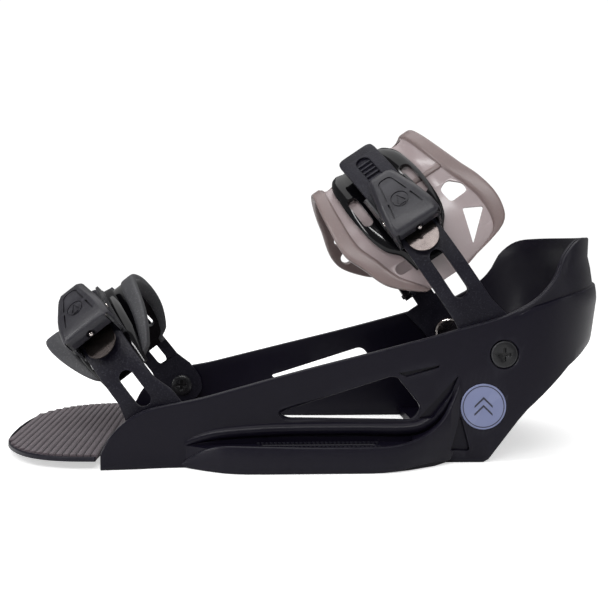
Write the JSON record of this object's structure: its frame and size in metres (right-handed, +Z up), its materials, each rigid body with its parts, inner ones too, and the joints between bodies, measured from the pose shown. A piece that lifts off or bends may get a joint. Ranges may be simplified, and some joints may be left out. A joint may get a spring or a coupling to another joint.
{
  "type": "strap binding",
  "caption": "Open-chassis strap binding with a ribbed toe ramp, a closed heel shell, slotted side flanges, and ratchet ankle and toe straps that swing, open and unlatch.",
  "frame": {"origin": "middle of the length and width, on the board surface under the chassis", "axes": "+X towards the heel, -Y the lateral side with the buckles, +Z up from the board"},
  "size_m": [0.3254, 0.176, 0.1747],
  "materials": {
    "satin_black_nylon": "satin moulded glass-filled nylon",
    "grained_ladder_nylon": "finely grained nylon",
    "soft_touch_lever": "soft-touch grained overmould",
    "gloss_black_tpu": "gloss black elastomer",
    "smoky_tpu": "smoky translucent elastomer",
    "grained_grey_tpu": "grained dark grey elastomer",
    "ribbed_pad": "ribbed brown-grey foam rubber",
    "polished_steel": "polished stainless steel",
    "black_steel": "black-coated steel",
    "copper_latch": "copper-coloured coating",
    "red_latch": "red moulded plastic",
    "pale_blue_badge": "pale blue printed disc"
  },
  "bodies": {
    "chassis_body": {"chassis": "satin_black_nylon", "toe_ramp": "satin_black_nylon", "toe_pad": "ribbed_pad", "badge_lateral": "pale_blue_badge", "badge_medial": "pale_blue_badge", "ankle_screw_lateral": "black_steel", "ankle_screw_medial": "black_steel", "ankle_nut_lateral": "polished_steel", "ankle_nut_medial": "polished_steel", "toe_screw_lateral": "black_steel", "toe_screw_medial": "black_steel"},
    "ankle_links": {"ankle_ladder": "grained_ladder_nylon", "ankle_medial_link": "grained_ladder_nylon"},
    "ankle_strap": {"ankle_pad": "smoky_tpu", "ankle_carrier": "gloss_black_tpu", "ankle_buckle_base": "black_steel", "ankle_buckle_rivet": "polished_steel", "ankle_lever_pin": "polished_steel", "ankle_release_pin": "polished_steel", "ankle_adjuster": "gloss_black_tpu", "ankle_latch_pin": "polished_steel", "ankle_medial_pin": "polished_steel"},
    "ankle_lever_body": {"ankle_lever": "soft_touch_lever", "ankle_lever_plunger": "polished_steel"},
    "ankle_release_body": {"ankle_release": "polished_steel"},
    "ankle_latch_body": {"ankle_latch": "red_latch"},
    "toe_links": {"toe_ladder": "grained_ladder_nylon", "toe_medial_link": "grained_ladder_nylon"},
    "toe_strap": {"toe_cap": "grained_grey_tpu", "toe_carrier": "gloss_black_tpu", "toe_buckle_base": "black_steel", "toe_buckle_rivet": "polished_steel", "toe_lever_pin": "polished_steel", "toe_release_pin": "polished_steel", "toe_adjuster": "gloss_black_tpu", "toe_latch_pin": "polished_steel"},
    "toe_lever_body": {"toe_lever": "soft_touch_lever", "toe_lever_plunger": "polished_steel"},
    "toe_release_body": {"toe_release": "polished_steel"},
    "toe_latch_body": {"toe_latch": "copper_latch"}
  },
  "joints": [
    {"name": "ankle_swing", "type": "hinge", "parent": "chassis_body", "child": "ankle_links", "pos_m": [0.09585, 0, 0.0548], "axis": [0, 1, 0], "range_deg": [-18, 15]},
    {"name": "ankle_draw", "type": "hinge", "parent": "ankle_links", "child": "ankle_strap", "pos_m": [0.07684, 0.059, 0.08299], "axis": [0.829, 0, 0.5592], "range_deg": [-60, 8]},
    {"name": "ankle_lever_lift", "type": "hinge", "parent": "ankle_strap", "child": "ankle_lever_body", "pos_m": [0.05031, -0.06273, 0.12231], "axis": [0.829, 0, 0.5592], "range_deg": [0, 60]},
    {"name": "ankle_release_pull", "type": "hinge", "parent": "ankle_strap", "child": "ankle_release_body", "pos_m": [0.0469, -0.05379, 0.12737], "axis": [-0.829, 0, -0.5592], "range_deg": [0, 8], "stiffness_Nm_per_rad": 0.05, "springref_deg": -11.46},
    {"name": "ankle_latch_lift", "type": "hinge", "parent": "ankle_strap", "child": "ankle_latch_body", "pos_m": [0.05638, 0.05548, 0.11331], "axis": [0.829, 0, 0.5592], "range_deg": [0, 70]},
    {"name": "toe_swing", "type": "hinge", "parent": "chassis_body", "child": "toe_links", "pos_m": [-0.07465, 0, 0.02], "axis": [0, 1, 0], "range_deg": [-20, 30]},
    {"name": "toe_draw", "type": "hinge", "parent": "toe_links", "child": "toe_strap", "pos_m": [-0.08573, 0, 0.03418], "axis": [0.788, 0, 0.6157], "range_deg": [-10, 10]},
    {"name": "toe_lever_lift", "type": "hinge", "parent": "toe_strap", "child": "toe_lever_body", "pos_m": [-0.11248, -0.0637, 0.06842], "axis": [0.788, 0, 0.6157], "range_deg": [0, 60]},
    {"name": "toe_release_pull", "type": "hinge", "parent": "toe_strap", "child": "toe_release_body", "pos_m": [-0.11446, -0.05336, 0.07096], "axis": [-0.788, 0, -0.6157], "range_deg": [0, 8], "stiffness_Nm_per_rad": 0.05, "springref_deg": -11.46},
    {"name": "toe_latch_lift", "type": "hinge", "parent": "toe_strap", "child": "toe_latch_body", "pos_m": [-0.11716, 0.05105, 0.07441], "axis": [0.788, 0, 0.6157], "range_deg": [0, 70]}
  ]
}
